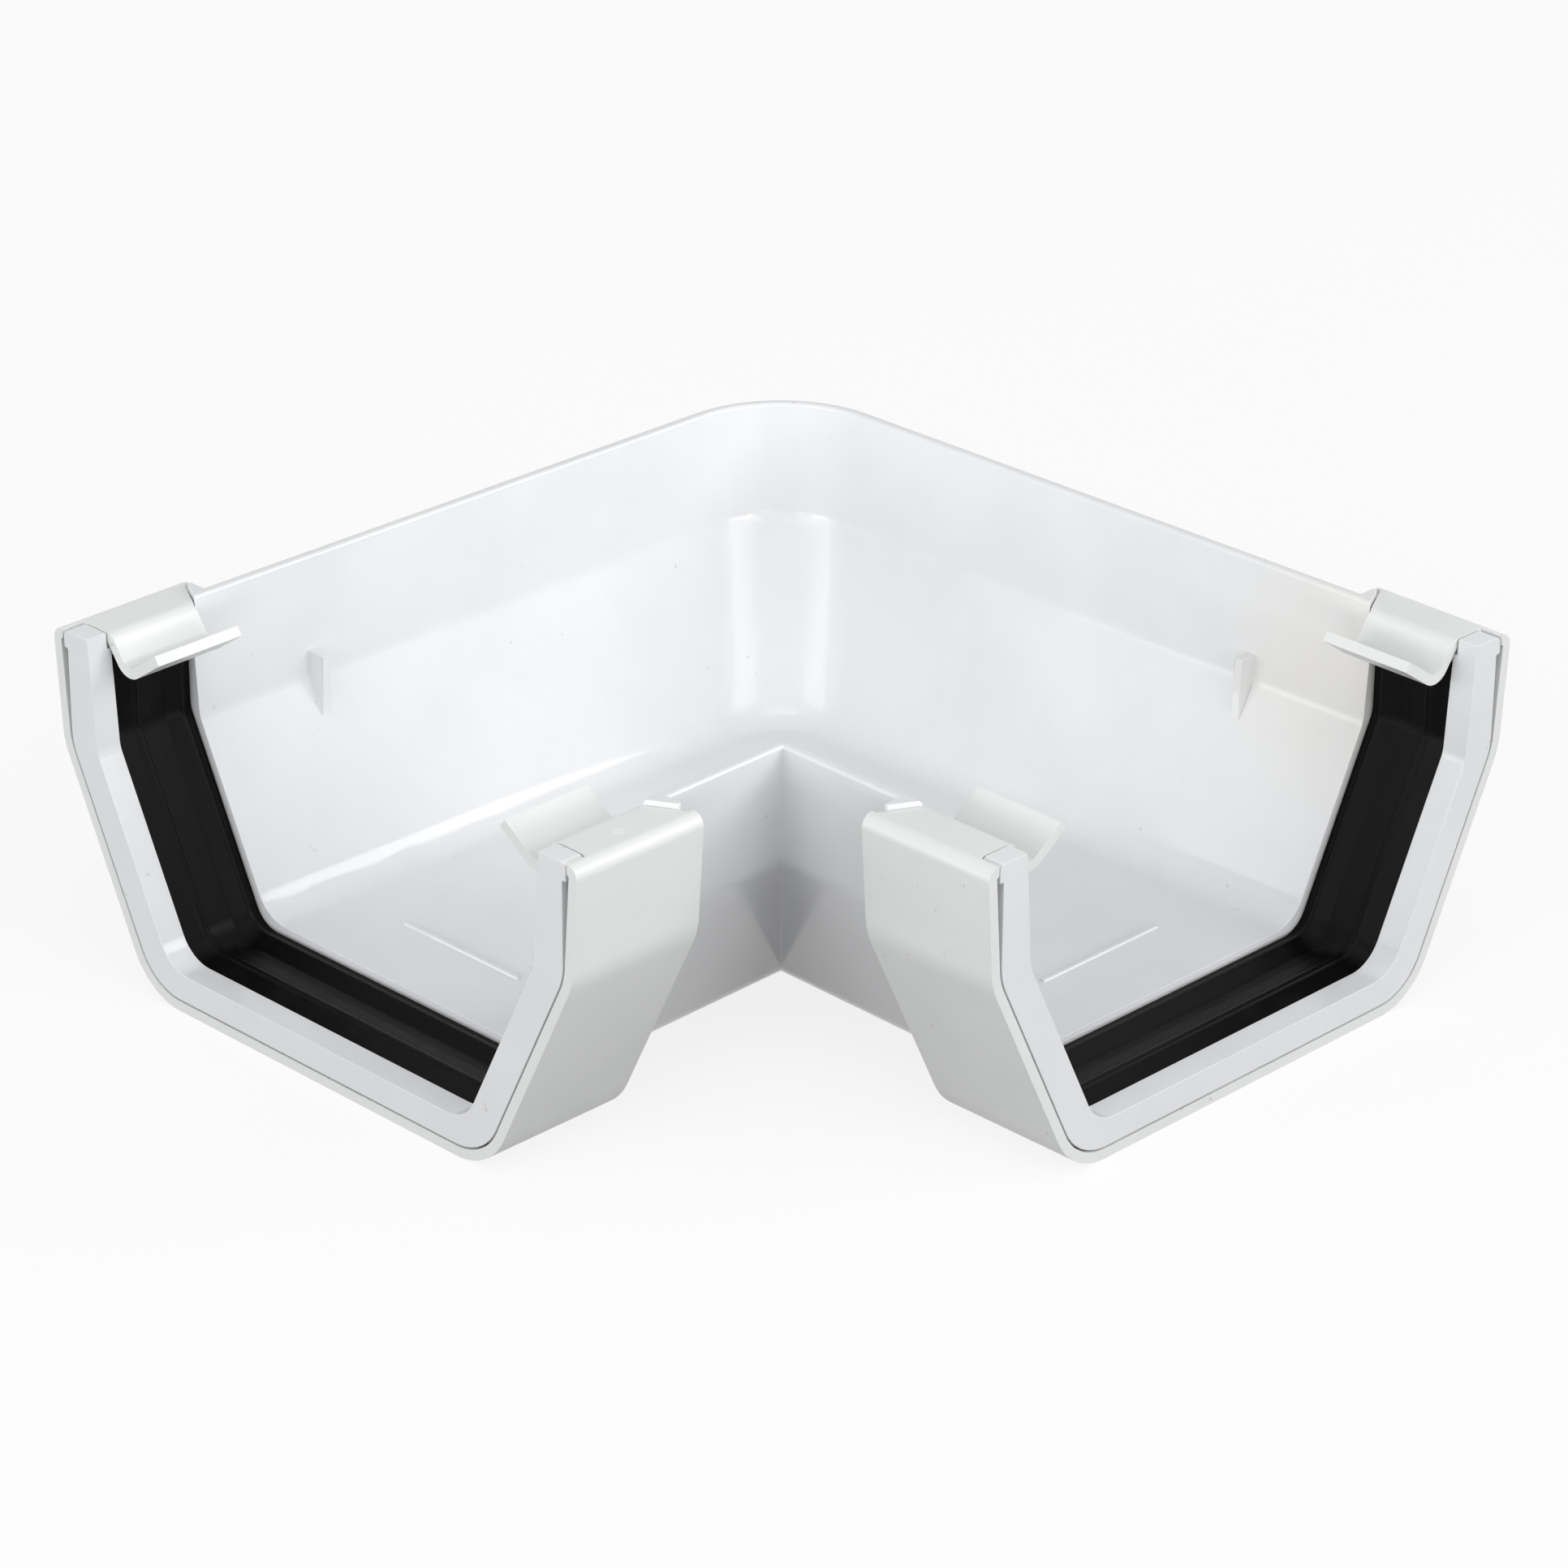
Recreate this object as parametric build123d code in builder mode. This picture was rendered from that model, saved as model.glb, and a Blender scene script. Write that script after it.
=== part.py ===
"""Ninety degree gutter angle for square-section rainwater gutter.

A moulded corner channel with a socket at each end. Each socket holds a ribbed rubber seal in a
groove, and a springy strap wraps round it from rim to rim. A hook at each top edge of the strap
snaps over the edge of the gutter.

The two runs lie along +X and +Y. The origin is where the centre lines of the two runs cross, on
the level that the straps stand on, and +Z is up.
"""
from build123d import *
from math import atan2, cos, tan
import os

os.makedirs("parts", exist_ok=True)

# Overall layout
arm_length = 105.8  # from the crossing of the centre lines to each open end
wall = 2.0  # moulded wall of the channel
draft = 0.0175  # how much each half-width grows for each unit of length, towards the open end

# Outside of the channel's section where it leaves the strap
rim_half = 55.2  # half-width at the rim
rim_height = 61.4
knee_in = 1.5  # from the rim in to the knee, where the side starts to slope in
knee_height = 40.0
sole_in = 17.8  # from the rim in to the sharp corner under the sole's rounding
sole_height = 6.5
knee_round = 7.0
sole_round = 9.0
corner_radii = [17.0, 20.0, 21.5]  # outer corner seen from above, at sole, knee and rim
rim_bevel = 0.4

# Strap, measured outside its section
strap_length = 26.6
strap_wall = 1.8
strap_side_step = 7.2  # from the channel's upper wall out to the strap's
strap_slope_step = 6.5  # from the channel's sloping wall out to the strap's
strap_top_drop = 0.9  # from the channel's rim to the strap's top
strap_top_round = 2.2
strap_knee_round = 12.0
strap_sole_round = 12.5

# Hook at each top edge of the strap, on the upper face of the bend
hook_start = 9.7  # from the strap's side to where the flat top turns down
hook_low_in = 13.6  # from the strap's side to the lowest point
hook_low_drop = 5.4  # from the strap's top to the lowest point
hook_tip_in = 20.7
hook_tip_drop = 0.4
hook_turn_round = 2.6
hook_low_round = 1.8
hook_step = 1.0  # from the strap's inner end to where its flat top starts to taper
hook_set_back = 4.9  # from the strap's inner end to the hook's, which the flat top tapers to

# Socket under the strap
strap_gap = 0.3  # clearance between the strap and the socket's lower parts
strap_side_gap = 1.7  # clearance beside the rim, where the strap springs clear
strap_top_gap = 1.0  # clearance under the strap's flat top
collar_length = 4.8  # collar at the open end
mouth_gap = 0.5  # how much wider than the channel the collar's opening is, on each side
mouth_drop = 1.5  # how much lower than the channel's floor the collar's opening is
cap_length = 4.0  # block on the collar that fills the notch in the strap's flat top
cap_overhang = 0.85  # from the collar's outer face to the block's
cap_lap = 0.4  # how far the block reaches down the collar
cap_round = 1.3
notch_gap = 0.25
socket_depth = 21.3  # from the open end to the step behind the seal
socket_wall = 2.2

# Rubber seal in the socket's groove
seal_gap = 0.05
seal_base = 1.5
seal_drop = 5.9  # from the strap's top to the seal's two ends
bead_place = 4.6  # from the collar in to the crest of the bead
bead_width = 1.7
bead_height = 3.5
bead_crown = 0.5  # rise of the bead's rounded top
ledge_width = 3.0  # step behind the bead
ledge_height = 2.4
lip_place = 14.0  # from the collar in to the crest of the lip
lip_width = 0.7
lip_height = 3.4
lip_run = 2.2  # how far the lip's slope reaches towards the bead
edge_width = 1.2  # band along the seal's inner edge
edge_height = 2.6

# Small features inside and on the rim
line_from_end = 36.5  # raised line that shows how far the gutter goes in
line_width = 0.9
line_height = 0.4
line_length = 28.0
line_offset = 5.0  # from the centre of the run to the centre of the line
lug_from_corner = 7.1  # from the inner corner to the fins that stop the gutter
lug_thickness = 1.6
lug_reach = 3.6
lug_rise = 4.5  # from the knee to the fin's top
lug_drop = 11.0  # from the knee to the fin's foot, within the sloping wall
nib_back = 0.9  # from the strap's inner end to the ear that keeps it from sliding inwards
nib_reach = 3.0  # how far the ear stands out from the rim
nib_gap = 0.3

# Stations and levels that the sizes above give
strap_end = arm_length - strap_length
groove_start = arm_length - socket_depth
socket_start = groove_start - socket_wall
collar_start = arm_length - collar_length
knee_half = rim_half - knee_in
sole_half = rim_half - sole_in
lug_face = knee_half + lug_from_corner
floor_height = sole_height + wall
strap_top_height = rim_height - strap_top_drop
socket_top = strap_top_height - strap_wall - strap_top_gap
cap_start = arm_length - cap_length
cap_bottom = socket_top - cap_lap
hook_end = strap_end + hook_set_back
hook_bottom = strap_top_height - hook_low_drop - strap_wall

hair = 0.01  # how closely an edge's level is matched
mitre = Plane(origin=(0, 0, 0), x_dir=(1, 1, 0), z_dir=(1, -1, 0))  # the two runs mirror in it


def across(x):
    """Plane square to the run along X, with local x along world Y and local y up."""
    return Plane(origin=(x, 0, 0), x_dir=(0, 1, 0), z_dir=(1, 0, 0))


def inset_side(side, wall_move, slope_move, floor, top):
    """Sole, knee and rim of a side whose upper and sloping walls move inwards, cut off at a
    floor and a top."""
    sole, knee, rim = side[:3]
    upper = atan2(rim[0] - knee[0], rim[1] - knee[1])
    lower = atan2(knee[0] - sole[0], knee[1] - sole[1])
    wall_shift = wall_move / cos(upper)
    rise = (wall_shift - slope_move / cos(lower)) / (tan(upper) - tan(lower))
    knee_y = knee[0] + rise * tan(upper) - wall_shift
    knee_z = knee[1] + rise
    return [
        (knee_y - (knee_z - floor) * tan(lower), floor),
        (knee_y, knee_z),
        (knee_y + (top - knee_z) * tan(upper), top),
    ]


def section_at(x, side, knee_r, sole_r):
    """Filled trough section at x, from the sole, knee and rim of its +Y side."""
    back = [(-y, z) for y, z in reversed(side)]
    with BuildSketch(across(x)) as section:
        with BuildLine():
            FilletPolyline(back + side, radius=[knee_r, sole_r, sole_r, knee_r])
            Line(side[-1], back[0])
        make_face()
    return section.sketch


def back_plan(height, half, x_end, radius):
    """Plan of both runs, from their outer walls in to a square well past their inner walls."""
    crossing = half - draft * strap_end
    outer = crossing / (1 + draft)
    end = crossing + draft * x_end
    with BuildSketch(Plane.XY.offset(height)) as plan:
        with BuildLine():
            FilletPolyline(
                (x_end, x_end), (-end, x_end), (-outer, -outer), (x_end, -end), radius=[0, radius]
            )
            Polyline((x_end, -end), (x_end, x_end))
        make_face()
    return plan.sketch


def corner_channel(side, x_end, knee_r, sole_r, radii):
    """Solid of both runs, mitred at the inner corner and rounded at the outer one, from a side
    that ends in a bevel over its rim."""
    with BuildPart() as backs:
        for (half, height), radius in zip(side, radii + radii[-1:]):
            add(back_plan(height, half, x_end, radius))
        loft(ruled=True)
        for (_, height), radius in ((side[1], knee_r), (side[0], sole_r)):
            level = backs.edges().filter_by_position(Axis.Z, height - hair, height + hair)
            ends = level.filter_by(Axis.X) + level.filter_by(Axis.Y)
            fillet([edge for edge in level if edge not in ends], radius=radius)
    with BuildPart() as runs:
        floor, top = side[0][1], side[3][1]
        narrowing = draft * (x_end + strap_end)
        course = Vector(1, draft, 0)
        front = [((y - narrowing) / course.length, z) for y, z in side]
        with BuildSketch(Plane(origin=(-x_end, 0, 0), x_dir=(-draft, 1, 0), z_dir=course)):
            with BuildLine():
                FilletPolyline([(-2 * x_end, floor)] + front, radius=[sole_r, knee_r, 0])
                Polyline(front[3], (-2 * x_end, top), (-2 * x_end, floor))
            make_face()
        extrude(amount=3 * x_end)
        split(bisect_by=mitre, keep=Keep.TOP)
        mirror(about=mitre)
        add(backs.part, mode=Mode.INTERSECT)
    return runs.part


# Sides of the nested sections, each as its sole, knee and rim
over_all = rim_height + wall  # a level clear above every rim, for what is cut away
bevel_foot = rim_height - rim_bevel
outline = [(sole_half, sole_height), (knee_half, knee_height), (rim_half, rim_height)]
shell_side = inset_side(outline, 0, 0, sole_height, bevel_foot)
shell_side.append((shell_side[2][0] - rim_bevel, rim_height))
bore_side = inset_side(outline, wall, wall, floor_height, bevel_foot)
bore_side.append((bore_side[2][0] + over_all - bevel_foot, over_all))
mouth_side = inset_side(bore_side, -mouth_gap, -mouth_gap, floor_height - mouth_drop, over_all)
strap_side = inset_side(outline, -strap_side_step, -strap_slope_step, 0, strap_top_height)
strap_to_socket = strap_wall + strap_gap
socket_side = inset_side(
    strap_side, strap_to_socket, strap_to_socket, strap_to_socket, socket_top
)
strap_top_half = strap_side[2][0]
socket_side[2] = (strap_top_half - strap_wall - strap_side_gap, socket_top)
cap_half = socket_side[2][0] + cap_overhang
notch_half = cap_half + notch_gap
groove_floor = strap_to_socket + socket_wall
groove_side = inset_side(socket_side, socket_wall, socket_wall, groove_floor, over_all)
cap_back = mouth_side[2][0] - wall
hook_turn = strap_top_half - hook_start

# Roundings that follow the strap and the channel through each nested layer
socket_knee_round = strap_knee_round - strap_wall - strap_gap
socket_sole_round = strap_sole_round - strap_wall - strap_gap
groove_knee_round = socket_knee_round - socket_wall
groove_sole_round = socket_sole_round - socket_wall
bore_knee_round = knee_round - wall
bore_sole_round = sole_round - wall

# Outer and inner forms of the corner channel
shell = corner_channel(shell_side, groove_start, knee_round, sole_round, corner_radii)
bore = corner_channel(
    bore_side,
    groove_start + wall,
    bore_knee_round,
    bore_sole_round,
    [radius - wall for radius in corner_radii],
)

# Socket at each open end, with its collar, its groove for the seal and its two caps
with BuildPart() as sockets:
    add(section_at(socket_start, socket_side, socket_knee_round, socket_sole_round))
    extrude(amount=arm_length - socket_start, dir=(1, 0, 0))
    with BuildSketch(across(cap_start)) as caps:
        with BuildLine():
            Polyline(
                (cap_half, cap_bottom),
                (cap_half, strap_top_height),
                (cap_back, strap_top_height),
                (cap_back, cap_bottom),
                close=True,
            )
        make_face()
        fillet(caps.vertices().group_by(Axis.X)[-1].sort_by(Axis.Y)[-1], radius=cap_round)
        mirror(about=Plane.YZ)
    extrude(amount=cap_length)
    groove = section_at(groove_start, groove_side, groove_knee_round, groove_sole_round)
    extrude(groove, amount=collar_start - groove_start, dir=(1, 0, 0), mode=Mode.SUBTRACT)
    mouth = section_at(collar_start, mouth_side, bore_knee_round, bore_sole_round)
    extrude(mouth, amount=collar_length, dir=(1, 0, 0), mode=Mode.SUBTRACT)
    add(bore, mode=Mode.SUBTRACT)
    mirror(about=mitre)

# Fins on the channel's walls, where the gutter stops
with BuildPart() as lugs:
    lug_half = bore_side[1][0] - lug_reach
    lug_top = bore_side[1][1] + lug_rise
    lug_foot = bore_side[1][1] - lug_drop
    with BuildSketch(across(lug_face)):
        with BuildLine():
            Polyline(
                (lug_half, lug_foot),
                (knee_half, lug_foot),
                (knee_half, lug_top),
                (lug_half, lug_top),
                close=True,
            )
        make_face()
        mirror(about=Plane.YZ)
    extrude(amount=-lug_thickness)
    mirror(about=mitre)
    add(shell, mode=Mode.INTERSECT)

# Raised line across each floor, where the gutter's end comes to
with BuildPart() as lines:
    with Locations((arm_length - line_from_end, -line_offset, floor_height)):
        Box(line_width, line_length, 2 * line_height)
    mirror(about=mitre)

# Ear on each rim, beside the taper of the strap's flat top
with BuildPart() as nibs:
    with BuildSketch(Plane.XY.offset(socket_top)):
        with BuildLine():
            Polyline(
                (strap_end + nib_back, rim_half - wall / 2),
                (strap_end + nib_back, rim_half + nib_reach),
                (hook_end, rim_half + nib_reach),
                (hook_end, rim_half - wall / 2),
                close=True,
            )
        make_face()
        mirror(about=Plane.XZ)
        mirror(about=mitre)
    extrude(amount=rim_height - socket_top)

# Room over each socket for the strap's flat top
with BuildPart() as strap_room:
    with BuildSketch(Plane.XY.offset(socket_top)):
        with BuildLine():
            Polyline(
                (strap_end + hook_step - nib_gap, notch_half),
                (hook_end - nib_gap, hook_turn),
                (hook_end - nib_gap, 0),
                (arm_length, 0),
                (arm_length, notch_half),
                close=True,
            )
        make_face()
        mirror(about=Plane.XZ)
        mirror(about=mitre)
    extrude(amount=rim_height)

# The moulded angle
with BuildPart() as angle_body:
    add(shell)
    add(bore, mode=Mode.SUBTRACT)
    add(nibs.part)
    add(strap_room.part, mode=Mode.SUBTRACT)
    add(sockets.part)
    add(lugs.part)
    add(lines.part)
angle_body.part.label = "angle_body"
export_step(angle_body.part, "parts/angle_body.step")

# Retaining strap, a bent ribbon with a hook at each end
hook_side = [
    (hook_turn, strap_top_height),
    (strap_top_half - hook_low_in, strap_top_height - hook_low_drop),
    (strap_top_half - hook_tip_in, strap_top_height - hook_tip_drop),
]
strap_rounds = [
    strap_sole_round,
    strap_knee_round,
    strap_top_round,
    hook_turn_round,
    hook_low_round,
]
with BuildPart() as strap_x:
    with BuildSketch(across(strap_end)):
        with BuildLine():
            half_path = strap_side + hook_side
            FilletPolyline(
                [(-y, z) for y, z in reversed(half_path)] + half_path,
                radius=strap_rounds[::-1] + strap_rounds,
            )
            offset(amount=strap_wall, side=Side.LEFT)
        make_face()
    extrude(amount=strap_length)
    with BuildSketch(Plane.XY.offset(hook_bottom)):
        with Locations((cap_start - notch_gap, 0)):
            Rectangle(strap_length, 2 * notch_half, align=(Align.MIN, Align.CENTER))
        with BuildLine():
            Polyline(
                (strap_end, notch_half),
                (strap_end + hook_step, notch_half),
                (hook_end, hook_turn),
                (hook_end, 0),
                (strap_end, 0),
                close=True,
            )
        make_face()
        mirror(about=Plane.XZ)
    extrude(amount=strap_top_height, mode=Mode.SUBTRACT)
strap_x.part.label = "strap_x"
export_step(strap_x.part, "parts/strap_x.step")

with BuildPart() as strap_y:
    mirror(strap_x.part, about=mitre)
strap_y.part.label = "strap_y"
export_step(strap_y.part, "parts/strap_y.step")

# Rubber seal, a ribbed strip bent into the groove
seal_end = strap_top_height - seal_drop
seal_side = inset_side(groove_side, seal_gap, seal_gap, groove_floor + seal_gap, seal_end)
seal_length = collar_start - groove_start - 2 * seal_gap
bead_back = seal_length - bead_place - bead_width / 2
bead_front = bead_back + bead_width
bead_shoulder = bead_height - bead_crown
lip_back = seal_length - lip_place - lip_width / 2
lip_front = lip_back + lip_width
with BuildPart() as seal_x:
    with BuildLine(across(groove_start + seal_gap)) as route:
        FilletPolyline(
            list(reversed(seal_side)) + [(-y, z) for y, z in seal_side],
            radius=[groove_knee_round, groove_sole_round, groove_sole_round, groove_knee_round],
        )
    with BuildSketch(Plane(origin=route.line @ 0, x_dir=(1, 0, 0), z_dir=route.line % 0)):
        with BuildLine():
            Polyline(
                (bead_front, bead_shoulder),
                (seal_length, seal_base),
                (seal_length, 0),
                (0, 0),
                (0, edge_height),
                (edge_width, edge_height),
                (lip_back, lip_height),
                (lip_front, lip_height),
                (lip_front + lip_run, seal_base),
                (bead_back - ledge_width, seal_base),
                (bead_back - ledge_width, ledge_height),
                (bead_back, ledge_height),
                (bead_back, bead_shoulder),
            )
            ThreePointArc(
                (bead_back, bead_shoulder),
                ((bead_back + bead_front) / 2, bead_height),
                (bead_front, bead_shoulder),
            )
        make_face()
    sweep(path=route.line)
seal_x.part.label = "seal_x"
export_step(seal_x.part, "parts/seal_x.step")

with BuildPart() as seal_y:
    mirror(seal_x.part, about=mitre)
seal_y.part.label = "seal_y"
export_step(seal_y.part, "parts/seal_y.step")
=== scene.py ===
# %% [markdown]
# # A white gutter angle in Blender
#
# The object is a corner fitting for square gutter: a glossy white vinyl moulding, two white
# straps that clip round its sockets, and two black rubber seals. The solids come from the CAD
# model, already at their real size in metres, with the straps standing on z = 0. This lesson
# gives them their surfaces, a studio and a camera.
#
# The first cell loads the solids.

# %% Load the solids
import math

import bpy
from mathutils import Matrix, Vector


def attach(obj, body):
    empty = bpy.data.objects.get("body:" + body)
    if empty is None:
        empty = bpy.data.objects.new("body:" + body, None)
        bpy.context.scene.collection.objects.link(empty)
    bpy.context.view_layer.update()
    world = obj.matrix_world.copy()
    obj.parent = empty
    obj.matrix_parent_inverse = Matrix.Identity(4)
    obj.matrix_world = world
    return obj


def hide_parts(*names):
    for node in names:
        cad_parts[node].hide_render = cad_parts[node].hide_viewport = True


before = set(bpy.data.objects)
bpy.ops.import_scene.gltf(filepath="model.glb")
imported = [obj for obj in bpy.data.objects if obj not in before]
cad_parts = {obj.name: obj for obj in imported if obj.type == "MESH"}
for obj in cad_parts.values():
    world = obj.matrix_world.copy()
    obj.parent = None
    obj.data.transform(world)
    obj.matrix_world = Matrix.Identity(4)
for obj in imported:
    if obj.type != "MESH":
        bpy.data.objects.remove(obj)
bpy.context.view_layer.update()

# %% [markdown]
# ## The camera
#
# A photographer stood a step away with a long lens and looked down at the fitting along the
# line between its two arms. A camera is easiest to place from what it looks at: a point, a
# direction given as two angles, and a distance. The direction back to the camera, the picture's
# right and its up make the three columns of the camera's matrix. A small roll tips the picture
# the way the hand-held photograph is tipped.

# %% Place the camera
AIM = Vector((0.03570, 0.03616, 0.04191))
AZIMUTH = math.radians(134.778)
ELEVATION = math.radians(25.804)
ROLL = math.radians(0.365)
DISTANCE = 0.93606
LENS_MM = 133.22
SENSOR_MM = 36.0

back = Vector(
    (
        math.sin(AZIMUTH) * math.cos(ELEVATION),
        -math.cos(AZIMUTH) * math.cos(ELEVATION),
        math.sin(ELEVATION),
    )
)
level_right = Vector((math.cos(AZIMUTH), math.sin(AZIMUTH), 0.0))
level_up = back.cross(level_right)
right = level_right * math.cos(ROLL) + level_up * math.sin(ROLL)
up = level_up * math.cos(ROLL) - level_right * math.sin(ROLL)

camera_data = bpy.data.cameras.new("camera")
camera_data.lens = LENS_MM
camera_data.sensor_width = SENSOR_MM
camera_data.clip_start = 0.05
camera_data.clip_end = 20.0
camera = bpy.data.objects.new("camera", camera_data)
camera.matrix_world = Matrix.Translation(AIM + DISTANCE * back) @ Matrix(
    (right, up, back)
).transposed().to_4x4()
bpy.context.scene.collection.objects.link(camera)
bpy.context.scene.camera = camera
print("camera at", [round(x, 4) for x in camera.matrix_world.translation])

# %% [markdown]
# ## A helper for shader arithmetic
#
# A procedural finish is a small sum of patterns. Wiring that sum by hand takes dozens of node
# calls, so one small class wraps an output socket and lets Python's own operators add the Math
# nodes. Every other kind of node comes from its `node` method, which sets the node's settings
# first and then its sockets.

# %% Wrap a socket
class Wire:
    """One output socket of a material's nodes."""

    def __init__(self, tree, socket):
        self.tree = tree
        self.socket = socket

    def node(self, kind, settings=None, sockets=None, output=0):
        """Adds a node, sets it up and returns one of its outputs."""
        made = self.tree.nodes.new(kind)
        for name, value in (settings or {}).items():
            setattr(made, name, value)
        for name, value in (sockets or {}).items():
            if isinstance(value, Wire):
                self.tree.links.new(value.socket, made.inputs[name])
            else:
                made.inputs[name].default_value = value
        return Wire(self.tree, made.outputs[output])

    def math(self, operation, *values):
        settings = {"operation": operation}
        return self.node("ShaderNodeMath", settings, dict(enumerate(values)))

    def __add__(self, other):
        return self.math("ADD", self, other)

    def __sub__(self, other):
        return self.math("SUBTRACT", self, other)

    def __mul__(self, other):
        return self.math("MULTIPLY", self, other)

    def __rsub__(self, other):
        return self.math("SUBTRACT", other, self)

    def between(self, low, high):
        """0 below low, 1 above high, and smooth between them."""
        sockets = {"Value": self, "From Min": low, "From Max": high}
        return self.node("ShaderNodeMapRange", {"interpolation_type": "SMOOTHSTEP"}, sockets)

    def mix(self, first, second):
        """A colour that goes from first to second as this value goes from 0 to 1."""
        sockets = {0: self, 6: first, 7: second}
        return self.node("ShaderNodeMix", {"data_type": "RGBA"}, sockets, output=2)


def new_finish(name):
    """A material, its shader node and the piece's own coordinates."""
    material = bpy.data.materials.new(name)
    material.use_nodes = True
    tree = material.node_tree
    shader = tree.nodes["Principled BSDF"]
    place = Wire(tree, tree.nodes.new("ShaderNodeTexCoord").outputs["Object"])
    return material, shader, place


def noise(place, scale, detail, roughness):
    """Soft random pattern from 0 to 1, with about scale spots to the metre."""
    sockets = {"Vector": place, "Scale": scale, "Detail": detail, "Roughness": roughness}
    return place.node("ShaderNodeTexNoise", {}, sockets)


def metres_from(place, point):
    """Distance from a point that is fixed in the piece's own coordinates."""
    sockets = {0: place, 1: point}
    return place.node("ShaderNodeVectorMath", {"operation": "DISTANCE"}, sockets, output=1)


print("shader helper ready")

# %% [markdown]
# ## White moulded vinyl
#
# The fitting is unplasticised vinyl, moulded in a polished tool: a cool white that is nearly
# smooth, with a soft sheen. Three things keep it from looking like a flat colour. The white is
# cloudy by a percent or two, where the melt cooled at different speeds. A few specks of dust are
# caught in it. Handling has left the sheen a little uneven. All three are noise patterns at
# different scales, and the finish takes its numbers as arguments: the straps come from another
# batch, with a broader and duller gloss than the angle.

# %% Mix the vinyl
DUST = (0.40, 0.37, 0.32, 1.0)
DUST_SHARE = 0.35
SHEEN_RANGE = 0.09
SWELL_HEIGHT = 0.00006
PEEL_HEIGHT = 0.000006
VINYL_IOR = 1.50


def moulded_vinyl(name, bright, dim, roughness):
    """White vinyl whose colour drifts between bright and dim."""
    material, shader, place = new_finish(name)
    tree = material.node_tree
    cloud = noise(place, 38.0, 3.0, 0.55).between(0.35, 0.65)
    colour = cloud.mix(dim, bright)

    speck_field = noise(place, 620.0, 1.0, 0.4)
    speck_area = noise(place, 55.0, 1.0, 0.5).between(0.50, 0.62)
    specks = speck_field.between(0.755, 0.795) * speck_area
    colour = (specks * DUST_SHARE).mix(colour, DUST)
    tree.links.new(colour.socket, shader.inputs["Base Color"])

    haze = noise(place, 90.0, 3.0, 0.6)
    sheen = haze * SHEEN_RANGE + (roughness - SHEEN_RANGE / 2.0)
    tree.links.new(sheen.socket, shader.inputs["Roughness"])

    swell = noise(place, 55.0, 2.0, 0.5)
    peel = noise(place, 260.0, 1.0, 0.4)
    height = swell * SWELL_HEIGHT + peel * PEEL_HEIGHT
    bump = place.node(
        "ShaderNodeBump", {}, {"Height": height, "Distance": 1.0, "Strength": 0.5}
    )
    tree.links.new(bump.socket, shader.inputs["Normal"])
    shader.inputs["IOR"].default_value = VINYL_IOR
    return material, shader, place, colour


angle_vinyl, angle_shader, angle_place, angle_colour = moulded_vinyl(
    "angle white vinyl", (0.802, 0.808, 0.819, 1.0), (0.774, 0.780, 0.792, 1.0), 0.17
)
strap_vinyl, strap_shader, strap_place, strap_colour = moulded_vinyl(
    "strap white vinyl", (0.808, 0.815, 0.811, 1.0), (0.783, 0.792, 0.788, 1.0), 0.34
)
print("vinyl finishes:", angle_vinyl.name, "and", strap_vinyl.name)

# %% [markdown]
# ## Yellowing by one socket
#
# Vinyl yellows where the sun and the rubber's oils reach it. On this fitting a faint warm patch
# sits on the inside of the far wall, just before the seal of the run along Y. The patch is a
# soft ball round one point in the angle's own coordinates: its radius minus the distance to that
# point, run through a smooth step, tints the white that is already there.

# %% Tint the patch
PATCH_CENTRE = (-0.054, 0.078, 0.046)
PATCH_RADIUS = 0.030
PATCH_FADE = 0.026
PATCH_SHARE = 0.8
YELLOWED = (0.780, 0.745, 0.655, 1.0)

inside = PATCH_RADIUS - metres_from(angle_place, PATCH_CENTRE)
patch = inside.between(0.0, PATCH_FADE) * noise(angle_place, 120.0, 3.0, 0.6)
tinted = (patch * PATCH_SHARE).mix(angle_colour, YELLOWED)
angle_vinyl.node_tree.links.new(tinted.socket, angle_shader.inputs["Base Color"])
print("warm patch added to", angle_vinyl.name)

# %% [markdown]
# ## The gate mark on one strap
#
# Melt runs into a mould through a small gate, and the place where it was cut off shows as a ring.
# On this fitting one such ring, under two millimetres across, is on top of the strap round the run
# along X. The distance to its centre gives it: a step up at the inner radius times a step down at
# the outer one is a ring, which is a little paler than the vinyl round it.

# %% Draw the ring
GATE_CENTRE = (0.0925, 0.0574, 0.0605)
GATE_SHARE = 0.7
GATE_WHITE = (0.93, 0.93, 0.92, 1.0)

off = metres_from(strap_place, GATE_CENTRE)
ring = off.between(0.0003, 0.0006) * (1.0 - off.between(0.0007, 0.0011))
ringed = (ring * GATE_SHARE).mix(strap_colour, GATE_WHITE)
strap_vinyl.node_tree.links.new(ringed.socket, strap_shader.inputs["Base Color"])
print("gate mark added to", strap_vinyl.name)

# %% [markdown]
# ## Black rubber
#
# The seals are dense black rubber with a dull skin. Rubber is never quite black: this one
# reflects a few parts in a thousand, with a trace of grey talc bloom. Its gloss is broad and
# faint, and the mould leaves a fine pebble in the skin.

# %% Mix the rubber
CLEAN_BLACK = (0.0016, 0.0016, 0.0019, 1.0)
BLOOMED_BLACK = (0.0038, 0.0037, 0.0041, 1.0)
PEBBLE_HEIGHT = 0.000012

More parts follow.
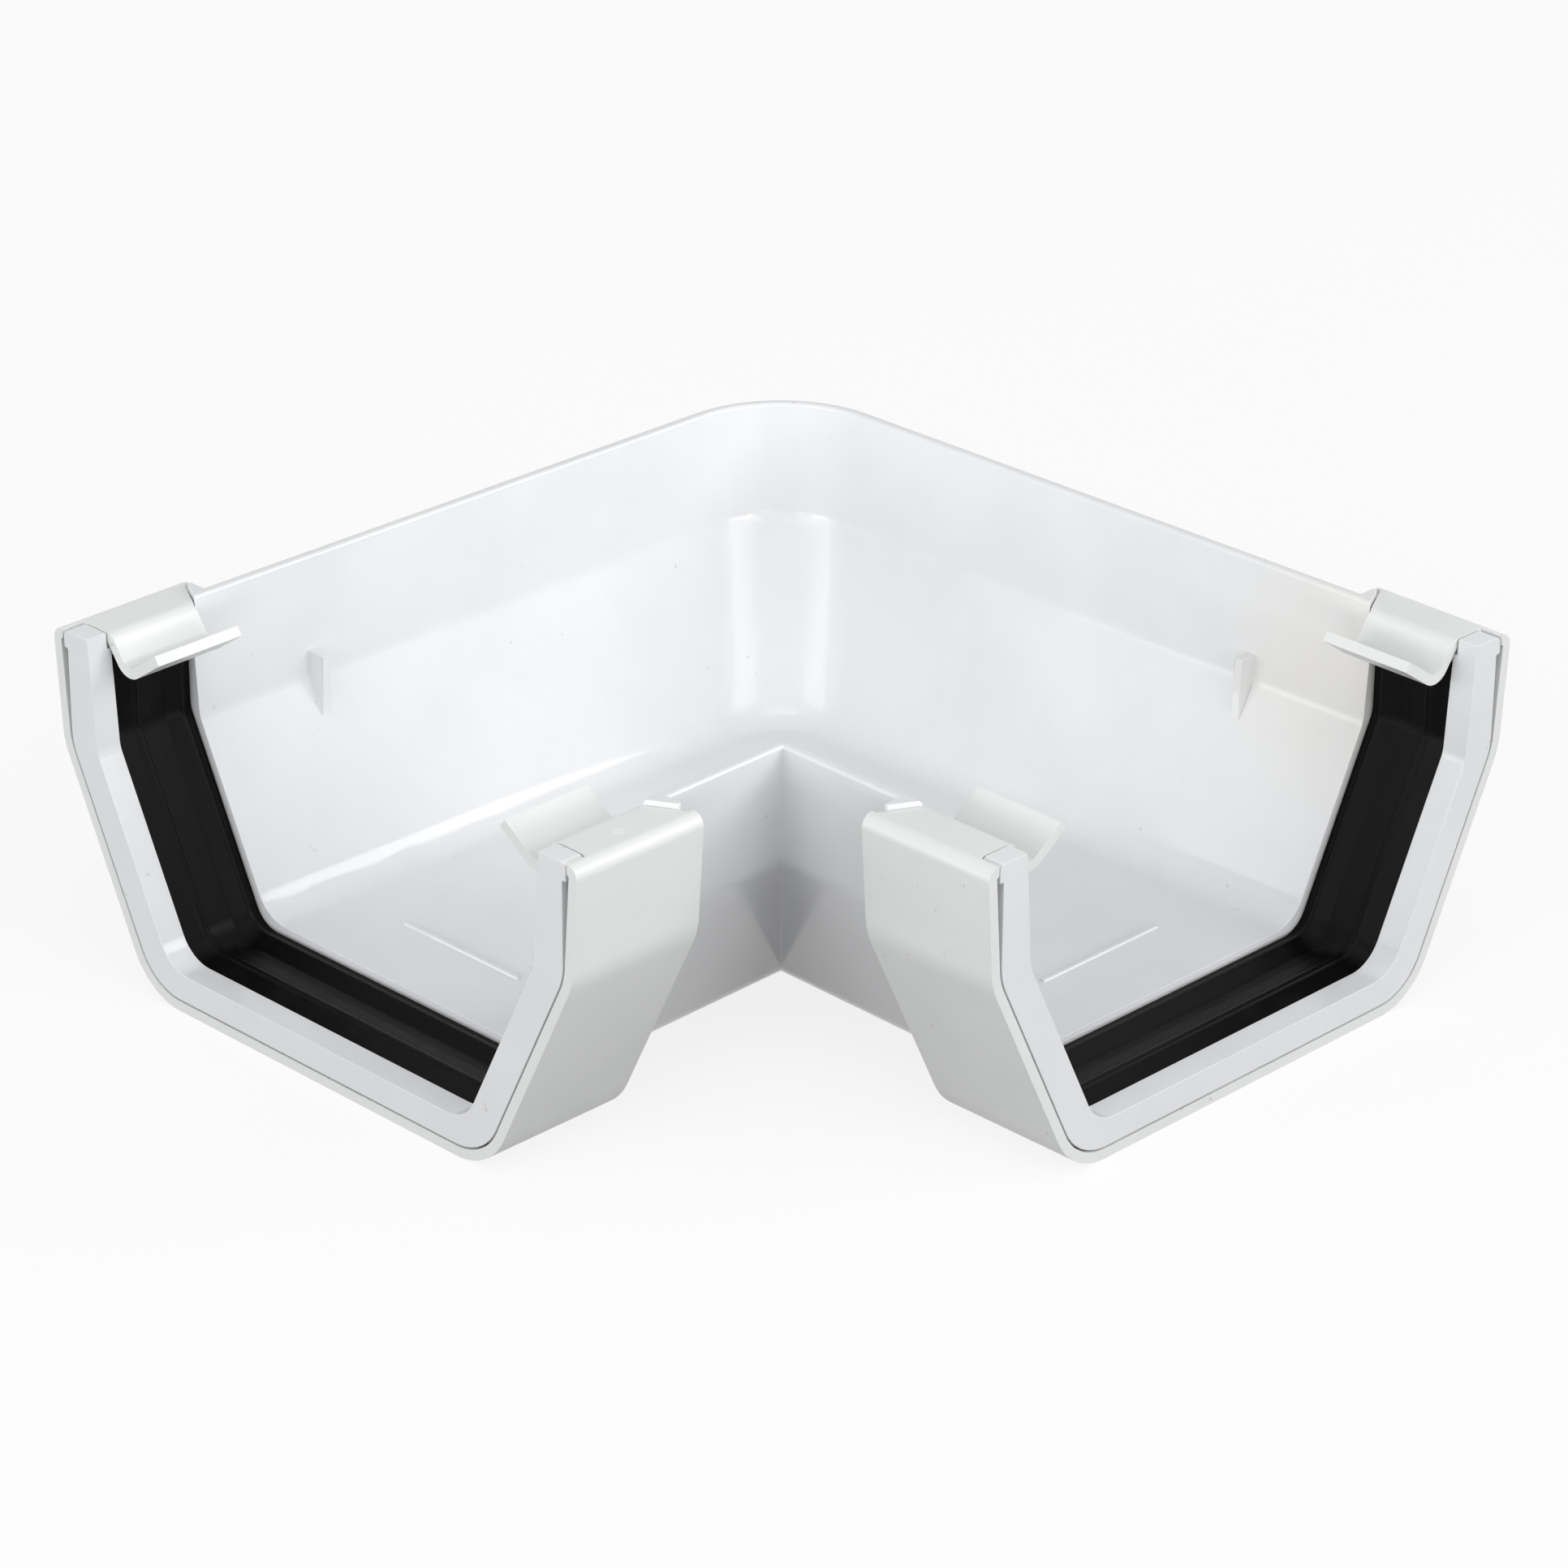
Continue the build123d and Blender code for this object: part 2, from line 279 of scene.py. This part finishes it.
seal_rubber, seal_shader, seal_place = new_finish("black seal rubber")
bloom = noise(seal_place, 140.0, 4.0, 0.6).between(0.45, 0.75)
black = bloom.mix(CLEAN_BLACK, BLOOMED_BLACK)
seal_tree = seal_rubber.node_tree
seal_tree.links.new(black.socket, seal_shader.inputs["Base Color"])
dullness = bloom * 0.10 + 0.36
seal_tree.links.new(dullness.socket, seal_shader.inputs["Roughness"])
pebble = noise(seal_place, 1500.0, 2.0, 0.5) * PEBBLE_HEIGHT
rubber_bump = seal_place.node(
    "ShaderNodeBump", {}, {"Height": pebble, "Distance": 1.0, "Strength": 0.8}
)
seal_tree.links.new(rubber_bump.socket, seal_shader.inputs["Normal"])
seal_shader.inputs["Specular IOR Level"].default_value = 0.08
print("rubber finish:", seal_rubber.name)

# %% [markdown]
# ## Soft edges on the mouldings
#
# No edge that comes out of a mould is sharp. Its rounding is a few tenths of a millimetre, too
# small to matter in the CAD model, yet it is what catches the light along every rim and strap.
# It could be faked in the shader, but a real bevel also holds in other programs. A solid's mesh
# arrives as loose triangles, so each piece is made from a copy: its corners are merged, flat
# areas are joined into single faces, and a narrow bevel then finds every edge that turns by more
# than a set angle. Where two bevels meet, points that landed in one place are merged again: a
# flat face with such a pair in its outline can be filled in wrongly. Weighted normals let the
# large faces decide how the shading runs, so that they stay flat beside the narrow ones. The
# piece takes the solid's place in the picture.

# %% Round the edges of a copy
SAME_CORNER = 2e-6
SAME_BEVEL_CORNER = 5e-6
FLAT_WITHIN = math.radians(0.05)
SHARP_FROM = math.radians(28.0)
FLATS_WEIGHT = 90
ANGLE_EDGE = 0.00022
STRAP_EDGE = 0.00030
SEAL_EDGE = 0.00025


def soft_edged(node, width, finish):
    """Copy of a solid with merged corners and narrow rounded edges, in the solid's place."""
    bpy.ops.object.select_all(action="DESELECT")
    solid = bpy.data.objects[node]
    piece = solid.copy()
    piece.data = solid.data.copy()
    piece.name = node + "_soft"
    bpy.context.scene.collection.objects.link(piece)
    piece.select_set(True)
    bpy.context.view_layer.objects.active = piece
    bpy.ops.mesh.customdata_custom_splitnormals_clear()

    bpy.ops.object.mode_set(mode="EDIT")
    bpy.ops.mesh.select_all(action="SELECT")
    bpy.ops.mesh.remove_doubles(threshold=SAME_CORNER)
    bpy.ops.mesh.dissolve_limited(angle_limit=FLAT_WITHIN, use_dissolve_boundaries=False)
    bpy.ops.object.mode_set(mode="OBJECT")

    bpy.ops.object.modifier_add(type="BEVEL")
    bevel = piece.modifiers[-1]
    bevel.width = width
    bevel.segments = 2
    bevel.limit_method = "ANGLE"
    bevel.angle_limit = SHARP_FROM
    bevel.use_clamp_overlap = True
    bevel.miter_outer = "MITER_ARC"
    bevel.harden_normals = False
    bpy.ops.object.modifier_apply(modifier=bevel.name)
    bpy.ops.object.mode_set(mode="EDIT")
    bpy.ops.mesh.select_all(action="SELECT")
    bpy.ops.mesh.remove_doubles(threshold=SAME_BEVEL_CORNER)
    bpy.ops.object.mode_set(mode="OBJECT")

    bpy.ops.object.shade_smooth_by_angle(angle=SHARP_FROM)
    bpy.ops.object.modifier_add(type="WEIGHTED_NORMAL")
    flats = piece.modifiers[-1]
    flats.mode = "FACE_AREA"
    flats.weight = FLATS_WEIGHT
    flats.keep_sharp = True
    bpy.ops.object.modifier_apply(modifier=flats.name)

    piece.data.materials.clear()
    piece.data.materials.append(finish)
    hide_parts(node)
    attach(piece, "root")
    print(piece.name, len(piece.data.polygons), "faces")


soft_edged("angle_body", ANGLE_EDGE, angle_vinyl)
for strap in ("strap_x", "strap_y"):
    soft_edged(strap, STRAP_EDGE, strap_vinyl)
for seal in ("seal_x", "seal_y"):
    soft_edged(seal, SEAL_EDGE, seal_rubber)

# %% [markdown]
# ## A white floor that keeps its shadow
#
# The photograph is a product shot on white. The floor is a large plane. To the camera it is
# mostly plain white light with a share of a lit white surface, so it reads as white and still
# darkens a little where the fitting stands on it. To the light that bounces it is a dark grey:
# the walls that lean out over it are shaded in the photograph, so little light came from below.
# A small function tells the two kinds of light apart, and the sky uses it again further down.

# %% Lay the floor
FLOOR_SIDE = 12.0
WHITE = (1.0, 1.0, 1.0, 1.0)
PAPER_DIM = (0.90, 0.90, 0.90, 1.0)
PAPER_BRIGHT = (0.95, 0.95, 0.95, 1.0)
BOUNCE_TONE = (0.04, 0.04, 0.042, 1.0)
GLOW_SHARE = 0.85


def seen_directly(wire):
    """1 for what the camera sees, also by reflection or through glass, and 0 for other light."""
    rays = wire.node("ShaderNodeLightPath").socket.node
    seen = Wire(wire.tree, rays.outputs["Is Camera Ray"])
    for kind in ("Is Glossy Ray", "Is Transmission Ray"):
        seen = seen.math("MAXIMUM", seen, Wire(wire.tree, rays.outputs[kind]))
    return seen


bpy.ops.object.select_all(action="DESELECT")
bpy.ops.mesh.primitive_plane_add(size=FLOOR_SIDE, location=(0.0, 0.0, 0.0))
floor = bpy.context.object
floor.name = "floor"
floor_finish, floor_shader, floor_place = new_finish("white floor")
floor_tree = floor_finish.node_tree
shown = seen_directly(floor_place)
paper = noise(floor_place, 3.0, 2.0, 0.5).mix(PAPER_DIM, PAPER_BRIGHT)
tone = shown.mix(BOUNCE_TONE, paper)
floor_tree.links.new(tone.socket, floor_shader.inputs["Base Color"])
floor_shader.inputs["Roughness"].default_value = 0.9
floor_shader.inputs["Specular IOR Level"].default_value = 0.0
glow = floor_place.node("ShaderNodeEmission", {}, {"Color": WHITE, "Strength": 1.0})
surface = Wire(floor_tree, floor_shader.outputs[0])
both = floor_place.node("ShaderNodeMixShader", {}, {0: shown * GLOW_SHARE, 1: surface, 2: glow})
floor_tree.links.new(both.socket, floor_tree.nodes["Material Output"].inputs["Surface"])
floor.data.materials.append(floor_finish)
print("floor laid,", FLOOR_SIDE, "m across")

# %% [markdown]
# ## Studio light
#
# Light on a glossy white object is mostly about what the gloss reflects. Two large softboxes
# stand to the left and right of the camera. In the rounded inside of the outer corner each of
# them makes one upright pale band, with the gap between the boxes showing as a darker one. Two
# smaller boxes stand further round, like windows, and light the open ends from the side. One
# overhead lifts the floors of the channels. Three low strips light the undercut sides of the
# straps and the two walls at the front, and two boxes behind the fitting light its outer walls. A
# dim white sky fills in the rest. Each box is given by the angles that it stands at, seen from
# the fitting, its distance, its width and height in metres and its radiance, from which its power
# in watts follows.

# %% Set up the softboxes
def softbox(name, turn, height_angle, distance, width, tall, radiance):
    """Area light aimed at the fitting, turned by some degrees from the camera's side."""
    around = AZIMUTH + math.radians(turn)
    lift = math.radians(height_angle)
    towards = Vector(
        (math.sin(around) * math.cos(lift), -math.cos(around) * math.cos(lift), math.sin(lift))
    )
    data = bpy.data.lights.new(name, "AREA")
    data.shape = "RECTANGLE"
    data.size = width
    data.size_y = tall
    data.energy = radiance * math.pi * width * tall
    lamp = bpy.data.objects.new(name, data)
    lamp.location = AIM + towards * distance
    lamp.rotation_euler = towards.to_track_quat("Z", "Y").to_euler()
    bpy.context.scene.collection.objects.link(lamp)
    print(name, "power", round(data.energy, 1), "W")


SKY_COLOUR = (0.97, 0.985, 1.0, 1.0)
SKY_STRENGTH = 0.355

# name, turn and height in degrees, distance, width and tall in metres, radiance
for box in (
    ("left softbox", -43.0, 24.0, 1.7, 1.2, 0.8, 2.35),
    ("right softbox", 46.0, 24.0, 1.7, 1.2, 0.8, 2.35),
    ("left window", -72.0, 8.0, 1.5, 0.7, 0.5, 2.6),
    ("right window", 86.0, 31.0, 1.5, 0.6, 0.6, 4.2),
    ("overhead", 0.0, 66.0, 1.6, 0.9, 0.7, 1.7),
    ("left low fill", -46.0, 9.0, 1.6, 0.7, 0.25, 6.0),
    ("right low fill", 48.0, 9.0, 1.6, 0.7, 0.25, 7.8),
    ("low strip", 0.0, 5.0, 1.6, 1.3, 0.2, 5.5),
    ("left back fill", -128.0, 10.0, 1.7, 1.2, 0.5, 2.0),
    ("right back fill", 128.0, 10.0, 1.7, 1.2, 0.5, 2.0),
):
    softbox(*box)

world = bpy.data.worlds.new("studio")
world.use_nodes = True
bpy.context.scene.world = world
studio_tree = world.node_tree
sky_shader = studio_tree.nodes["Background"]
sky_shader.inputs["Color"].default_value = SKY_COLOUR
sky_shader.inputs["Strength"].default_value = SKY_STRENGTH
sky = Wire(studio_tree, sky_shader.outputs[0])
plain = sky.node("ShaderNodeBackground", {}, {"Color": WHITE, "Strength": 1.0})
backdrop = sky.node("ShaderNodeMixShader", {}, {0: seen_directly(sky), 1: sky, 2: plain})
studio_tree.links.new(backdrop.socket, studio_tree.nodes["World Output"].inputs["Surface"])
bpy.context.scene.view_settings.view_transform = "Standard"
print("studio lit")
